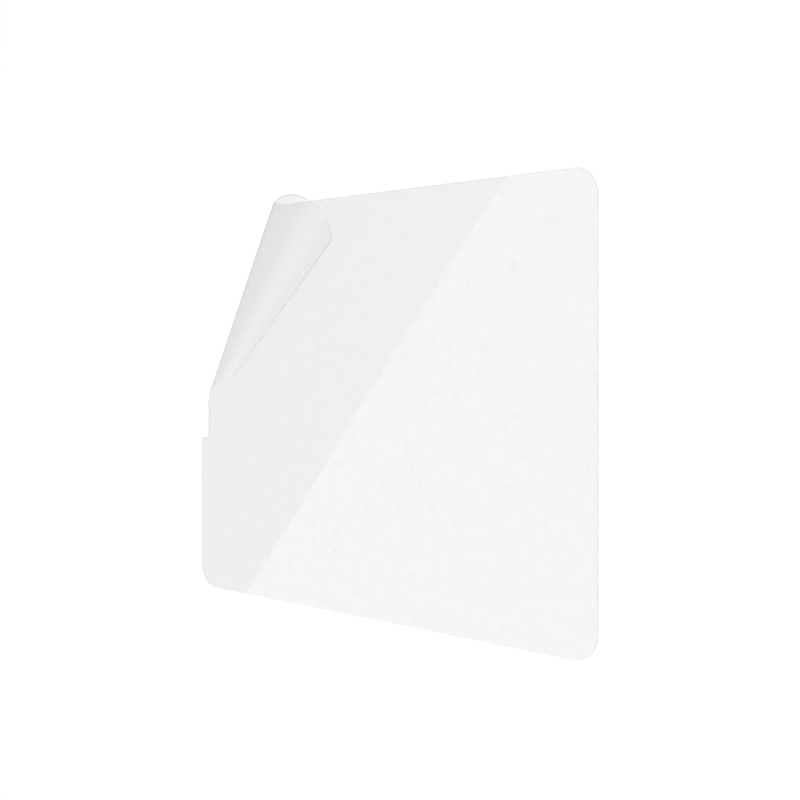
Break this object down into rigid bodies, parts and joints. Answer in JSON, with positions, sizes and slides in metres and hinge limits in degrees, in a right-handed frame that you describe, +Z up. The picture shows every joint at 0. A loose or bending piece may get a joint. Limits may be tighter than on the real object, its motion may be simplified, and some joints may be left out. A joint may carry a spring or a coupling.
{
  "type": "screen protector film",
  "caption": "Thin translucent paper-feel screen film with rounded corners, a sensor notch in one short edge and a corner peeled back in a conical curl.",
  "frame": {"origin": "middle of the flat sheet's underside, where the sheet's two middle lines cross", "axes": "+X along the long edges, away from the sensor notch; +Y towards the edge with the peeled corner; +Z up, out of the grained face"},
  "size_m": [0.275, 0.2106, 0.0194],
  "materials": {
    "film": "clear film with a fine paper-like grain and a soft sheen"
  },
  "bodies": {
    "root": {"screen_film": "film"}
  },
  "joints": []
}
